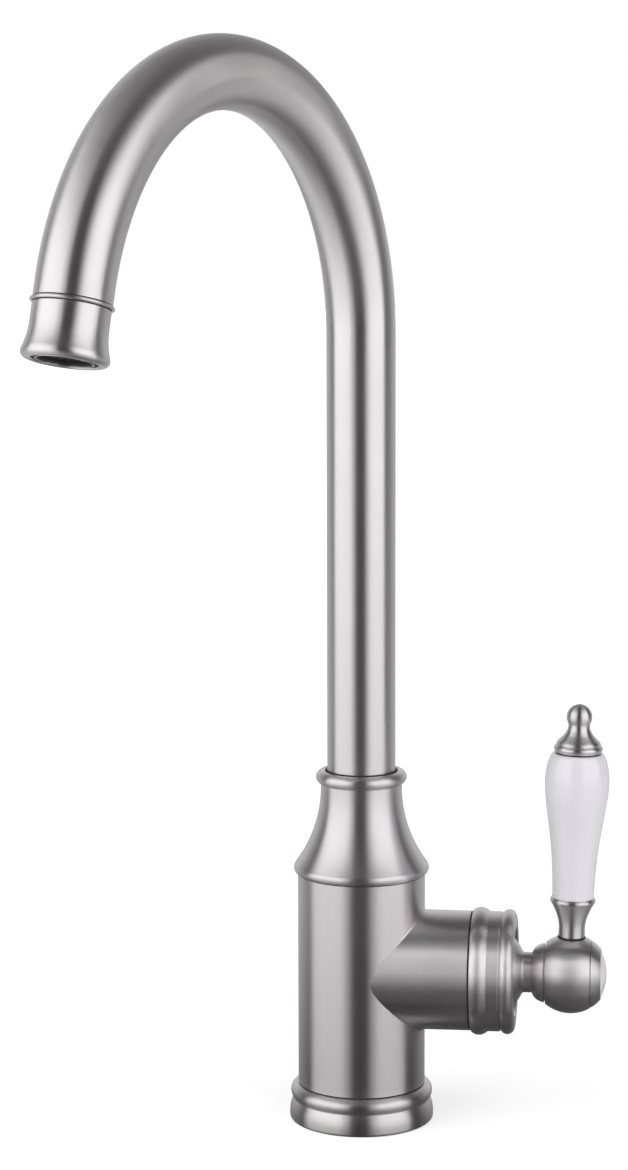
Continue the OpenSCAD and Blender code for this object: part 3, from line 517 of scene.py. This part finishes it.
# Mixing cartridge
# The foot, housing and rotor are moulded plastic, the two discs are ground and lapped ceramic,
# and the seals are rubber. The pin is drawn steel, the stem and the nut are machined brass.
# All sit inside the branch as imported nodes.
shell_plastic = moulded("shell_plastic", (0.80, 0.80, 0.77), 0.45, 1500, 0.00001, specks=0.05)
rotor_plastic = moulded("rotor_plastic", (0.20, 0.21, 0.23), 0.42, 1700, 0.00001, specks=0.12)
ground_ceramic = moulded("ground_ceramic", (0.84, 0.80, 0.74), 0.3, 3200, 0.000004, specks=0.04)
branch_brass = machined("branch_brass", brass_colour, 0.32, 0, 6000)
pin_steel = machined("pin_steel", (0.56, 0.57, 0.59), 0.25, 1, 5000)
for node, finish in (("cartridge_base", shell_plastic), ("cartridge_housing", shell_plastic),
                     ("cartridge_seals", rubber), ("fixed_disc", ground_ceramic),
                     ("moving_disc", ground_ceramic), ("disc_carrier", rotor_plastic),
                     ("cartridge_rotor", rotor_plastic), ("stem_pin", pin_steel),
                     ("cartridge_stem", branch_brass), ("cartridge_nut", branch_brass)):
    finish_node(node, finish)


# Cover ring
# Turned brass ring screwed into the end of the branch over the cartridge: a wide bead, a waist,
# a narrow bead at its face and a dished mouth for the dome of the hub. Plated and brushed.
dome_x, dome_r, dome_gap = 42.8, 18.4, 0.4
wide_half = 2.8
wide = arc_radius(1.1, wide_half)
wide_turn = degrees(asin(wide_half / wide))
cover = turned("cover_ring_turned", [
    (15.2, 38.6), (20.8, 38.6), (20.8, 41.2),
    *arc((23.4 - wide, 44), wide, -wide_turn, wide_turn, 14),
    (21.95, 47.3), (21.95, 51.5),
    *arc((20.25, 54.4), 2.6, -64, 90, 16),
    (16.4, 57), (16, 56.6),
    *arc((0, dome_x), dome_r + dome_gap, 38.07, -4.42, 20),
    (15.2, 41.35),
], on_branch, ease=0.15)
cover.data.materials.append(nickel)
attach(cover, "tap")
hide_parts("cover_ring")


# Lever hub
# Turned brass hub in one piece: a thin dome inside the cover ring, a neck, a collar and the
# ball that carries the lever. Plated and brushed, with a grub screw from below in the neck.
def swept(p, q, r, s, steps):
    """Points of a curve from p to s that leaves and arrives along the handles q and r."""
    share = [i / steps for i in range(steps + 1)]
    return [tuple((1 - t) ** 3 * a + 3 * t * (1 - t) ** 2 * b + 3 * t * t * (1 - t) * c + t ** 3 * d
                  for a, b, c, d in zip(p, q, r, s)) for t in share]


ball_x, ball_r, end_x = 77, 14.5, 84.5
dome_end = degrees(acos(7.8 / dome_r))
neck_x = dome_x + dome_r * sin(radians(dome_end))
ball_start = -degrees(acos(11.4 / ball_r))
seam_x = ball_x + ball_r * sin(radians(ball_start))
hub = turned("lever_hub_turned", [
    (0, 55.5),
    *arc((0, dome_x), 16.4, 50.75, 17, 10),
    *arc((0, dome_x), dome_r, 17, dome_end, 24),
    (7.5, neck_x + 0.4), (7.4, neck_x + 0.8), (7.4, 63.1),
    *swept((7.8, 63.2), (8.9, 63.6), (10.4, 64.8), (10.9, seam_x - 0.5), 12),
    (10.2, seam_x - 0.42), (10.2, seam_x),
    *arc((0, ball_x), ball_r, ball_start, degrees(asin((end_x - ball_x) / ball_r)), 36),
    (0, end_x),
], on_branch, ease=0.12)
drilled(hub, (61.2, 0, 44.8, 2.05, 12))
hub.data.materials.append(nickel)
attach(hub, "lever")
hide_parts("lever_hub")
finish_node("hub_grub_screw", spring_steel)


# End ring and button
# The end of the hub is a turned ring screwed into the ball, brushed like it and carrying on
# its curve, with a fine seam between them. A domed button of glazed porcelain is set in its
# seat and left bare.
def glazed(name, colour):
    """Porcelain with a clear, slightly wavy glaze over a cool white body."""
    finish, tree, body, spot = new_finish(name)
    body.inputs["IOR"].default_value = 1.52
    body.inputs["Coat Weight"].default_value = 0.6
    body.inputs["Coat Roughness"].default_value = 0.05
    pool = noise(tree, spot, 55, 3).outputs["Fac"]
    tree.links.new(two_tone(tree, pool, colour, 0.97, 1.02), body.inputs["Base Color"])
    tree.links.new(ranged(tree, pool, (0, 1, 0.12, 0.2)), body.inputs["Roughness"])
    tree.links.new(relief(tree, pool, 0.2, 0.00008), body.inputs["Normal"])
    return finish


porcelain = glazed("glazed_porcelain", (0.81, 0.79, 0.84))
seat_x, button_r = 86.2, 8.6
end_ring = turned("hub_end_ring_turned", [
    (0, 81), (6.9, 81), (6.9, end_x), (11.72, end_x),
    *arc((0, ball_x), ball_r, 32.54, 50.62, 12),
    (9, 88.31), (8.7, 88.01), (8.7, seat_x), (0, seat_x),
], on_branch, ease=0.08)
end_ring.data.materials.append(nickel)
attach(end_ring, "lever")
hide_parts("hub_end_ring")

dome = arc_radius(2.2, button_r)
button = turned("porcelain_button", [
    (0, seat_x), (button_r, seat_x),
    *arc((0, 90.3 - dome), dome, degrees(acos(button_r / dome)), 90, 16),
], on_branch, ease=0.3, turns=128)
button.data.materials.append(porcelain)
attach(button, "lever")
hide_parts("index_button")


# Ferrule, soft rings and rod
# A turned trumpet of plated brass seats the grip on the ball, over a black ring at its foot that
# is painted shade in the seam. A soft ring lies under and over the porcelain, and a steel rod
# through its bore clamps it all between the ball and the finial.
on_lever = shifted(ball_x, 0, branch_z) @ Matrix.Rotation(radians(1.5), 4, "Y")
rod_bore_r, ferrule_r, ferrule_seat = 3.05, 4.8, ball_r + 0.0125
seat_turn = degrees(acos(ferrule_r / ferrule_seat))
ferrule = turned("lever_ferrule_turned", [
    (rod_bore_r, 27.9), *arc((0, 0), ferrule_seat, 77.9, seat_turn, 5),
    *swept((ferrule_r, 17.5), (4.9, 21), (6.3, 23.8), (7.6, 26.3), 18),
    *arc((7.1, 27.7), 1.2, -35, 90, 10),
    (7.7, 28.9), (7.7, 27.9),
], on_lever, ease=0.12)
ferrule.data.materials.append(nickel)
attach(ferrule, "lever")
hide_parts("lever_ferrule")
# Painted shade: a black ring in the seam at the foot of the ferrule.
ferrule_shade_ring = turned("ferrule_shade_ring", [
    (4.82, 13.74), (5.12, 13.64), (5.12, 14.1), (4.82, 14.25),
], on_lever, ease=0.08)
ferrule_shade_ring.data.materials.append(rubber)
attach(ferrule_shade_ring, "lever")
finish_node("grip_washers", rubber)
finish_node("tie_rod", spring_steel)


# Porcelain grip
# Slip-cast porcelain handle, bored for the rod: a long taper that swells before its top. The
# clear glaze pools a little at the foot and the shoulder.
grip = turned("porcelain_grip_glazed", [
    (3.3, 28.4), (7.2, 28.4),
    *swept((7.6, 28.8), (7.9, 51.62), (11.7, 61.88), (11.7, 71.6), 30),
    *swept((11.7, 72), (11.7, 75.6), (10.8, 80.7), (9.3, 82.2), 14),
    (9, 82.4), (3.3, 82.4),
], on_lever, ease=0.3)
grip.data.materials.append(porcelain)
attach(grip, "lever")
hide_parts("porcelain_grip")


# Finial
# Turned cap nut of plated brass on top of the grip: a skirt with a fine groove, a slender neck
# and a small ball. It screws on the rod and is brushed on the lathe.
neck_r, knob_r = 3.95, 4.7
finial = turned("finial_turned", [
    (0, 92.2), (rod_bore_r, 92.2), (rod_bore_r, 82.9), (8.5, 82.9),
    *arc((7.6, 84.2), 1.3, -45, 55, 8),
    (8, 85.6), (8, 85.8),
    *swept((8.1, 86), (7.7, 87.1), (6.55, 87.7), (5.55, 88.9), 10),
    *swept((5.45, 89), (4.65, 90.1), (neck_r, 91.3), (neck_r, 92.5), 10),
    *arc((0, 95.7), knob_r, -degrees(acos(neck_r / knob_r)), 90, 24),
], on_lever, ease=0.1)
finial.data.materials.append(nickel)
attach(finial, "lever")
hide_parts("finial")


# Studio
# The camera stands where the photograph was taken. Two wide soft panels, each with a narrow one
# beside it, light the tap from the left and the right. A plain pale floor keeps its shadow, and
# its colour as the metal mirrors it is darker round the foot and in front: painted shade.
scene = bpy.context.scene
lens = bpy.data.cameras.new("camera")
lens.lens = 92.49
lens.sensor_width = 36
lens.sensor_fit = "AUTO"
lens.clip_start = 0.01
camera = bpy.data.objects.new("camera", lens)
camera.location = (0.1196, -1.0749, 0.3525)
camera.rotation_euler = (radians(81.951), radians(0.17), radians(7.234))
scene.collection.objects.link(camera)
scene.camera = camera
scene.view_settings.view_transform = "Standard"

panel_height, panel_lift, panel_reach = 1.4, 0.72, 1.15
for name, azimuth, width, power in (("left_panel", -60, 1.5, 10), ("left_edge", -21, 0.28, 1.1),
                                    ("right_panel", 61, 1.24, 8.3), ("right_edge", 27, 0.24, 0.92)):
    turn = radians(azimuth)
    panel = bpy.data.lights.new(name, "AREA")
    panel.shape = "RECTANGLE"
    panel.size = width
    panel.size_y = panel_height
    panel.energy = power
    stand = bpy.data.objects.new(name, panel)
    stand.location = (panel_reach * sin(turn), -panel_reach * cos(turn), panel_lift)
    stand.rotation_euler = (pi / 2, 0, turn)
    scene.collection.objects.link(stand)


def toward(tree, heading, aim):
    """How closely a heading points along an aim."""
    likeness = tree.nodes.new("ShaderNodeVectorMath")
    likeness.operation = "DOT_PRODUCT"
    likeness.inputs[1].default_value = aim
    tree.links.new(heading, likeness.inputs[0])
    return likeness.outputs["Value"]


def mixed(tree, share, shader, other):
    """Mixes two shaders: a share of 0 shows the first, and 1 the second."""
    mix = tree.nodes.new("ShaderNodeMixShader")
    tree.links.new(share, mix.inputs["Fac"])
    tree.links.new(shader, mix.inputs[1])
    tree.links.new(other, mix.inputs[2])
    return mix.outputs["Shader"]


world = bpy.data.worlds.new("studio")
world.use_nodes = True
scene.world = world
tree = world.node_tree
tree.nodes.clear()
room = tree.nodes.new("ShaderNodeBackground")
room.inputs["Color"].default_value = (1, 1, 1, 1)
room.inputs["Strength"].default_value = 0.38
seen = tree.nodes.new("ShaderNodeBackground")
seen.inputs["Color"].default_value = (1, 1, 1, 1)
mirrored = tree.nodes.new("ShaderNodeBackground")
way = tree.nodes.new("ShaderNodeTexCoord").outputs["Generated"]
back_wall = ranged(tree, toward(tree, way, (-0.1, 0.95, -0.5)), (0, 0.85, 0, 0.85), "SMOOTHSTEP")
ceiling = ranged(tree, toward(tree, way, (0, 0, 1)), (0.3, 0.9, 0, 0.12), "SMOOTHSTEP")
both = tree.nodes.new("ShaderNodeMath")
tree.links.new(back_wall, both.inputs[0])
tree.links.new(ceiling, both.inputs[1])
tree.links.new(both.outputs["Value"], mirrored.inputs["Strength"])
path = tree.nodes.new("ShaderNodeLightPath")
lit_room = mixed(tree, path.outputs["Is Glossy Ray"], room.outputs["Background"],
                 mirrored.outputs["Background"])
straight = tree.nodes.new("ShaderNodeMath")
straight.operation = "MAXIMUM"
tree.links.new(path.outputs["Is Camera Ray"], straight.inputs[0])
tree.links.new(path.outputs["Is Transmission Ray"], straight.inputs[1])
backdrop = mixed(tree, straight.outputs["Value"], lit_room, seen.outputs["Background"])
tree.links.new(backdrop, tree.nodes.new("ShaderNodeOutputWorld").inputs["Surface"])

work = bmesh.new()
bmesh.ops.create_grid(work, x_segments=1, y_segments=1, size=6)
mesh = bpy.data.meshes.new("floor")
work.to_mesh(mesh)
work.free()
floor = bpy.data.objects.new("floor", mesh)
scene.collection.objects.link(floor)
pale = bpy.data.materials.new("pale_floor")
pale.use_nodes = True
tree = pale.node_tree
tree.nodes.clear()
spot = tree.nodes.new("ShaderNodeTexCoord").outputs["Object"]
reach = tree.nodes.new("ShaderNodeVectorMath")
reach.operation = "LENGTH"
tree.links.new(spot, reach.inputs[0])
heading = tree.nodes.new("ShaderNodeVectorMath")
heading.operation = "NORMALIZE"
tree.links.new(spot, heading.inputs[0])
forward = toward(tree, heading.outputs["Vector"], (0.1, -1, 0))
# Painted shade: the floor's colour for glossy rays darkens round the foot and in front.
shade = tree.nodes.new("ShaderNodeMath")
shade.operation = "MULTIPLY"
foot = ranged(tree, reach.outputs["Value"], (0.05, 0.42, 0.12, 0.92), "SMOOTHSTEP")
front = ranged(tree, forward, (0.8, 0.97, 1, 0.25), "SMOOTHSTEP")
tree.links.new(foot, shade.inputs[0])
tree.links.new(front, shade.inputs[1])
painted_shade_floor = tree.nodes.new("ShaderNodeBsdfDiffuse")
tree.links.new(shade.outputs["Value"], painted_shade_floor.inputs["Color"])
polish = tree.nodes.new("ShaderNodeBsdfGlossy")
polish.inputs["Roughness"].default_value = 0.15
graze = tree.nodes.new("ShaderNodeFresnel")
graze.inputs["IOR"].default_value = 2
board = mixed(tree, graze.outputs["Fac"], painted_shade_floor.outputs["BSDF"], polish.outputs["BSDF"])
matte = tree.nodes.new("ShaderNodeBsdfDiffuse")
matte.inputs["Color"].default_value = (0.86, 0.86, 0.86, 1)
glow = tree.nodes.new("ShaderNodeEmission")
fade = ranged(tree, reach.outputs["Value"], (0.2, 1.3, 0.5, 1), "SMOOTHSTEP")
tree.links.new(fade, glow.inputs["Strength"])
lit = tree.nodes.new("ShaderNodeAddShader")
tree.links.new(matte.outputs["BSDF"], lit.inputs[0])
tree.links.new(glow.outputs["Emission"], lit.inputs[1])
path = tree.nodes.new("ShaderNodeLightPath")
unseen = mixed(tree, path.outputs["Is Glossy Ray"], matte.outputs["BSDF"], board)
surface = mixed(tree, path.outputs["Is Camera Ray"], unseen, lit.outputs["Shader"])
tree.links.new(surface, tree.nodes.new("ShaderNodeOutputMaterial").inputs["Surface"])
floor.data.materials.append(pale)
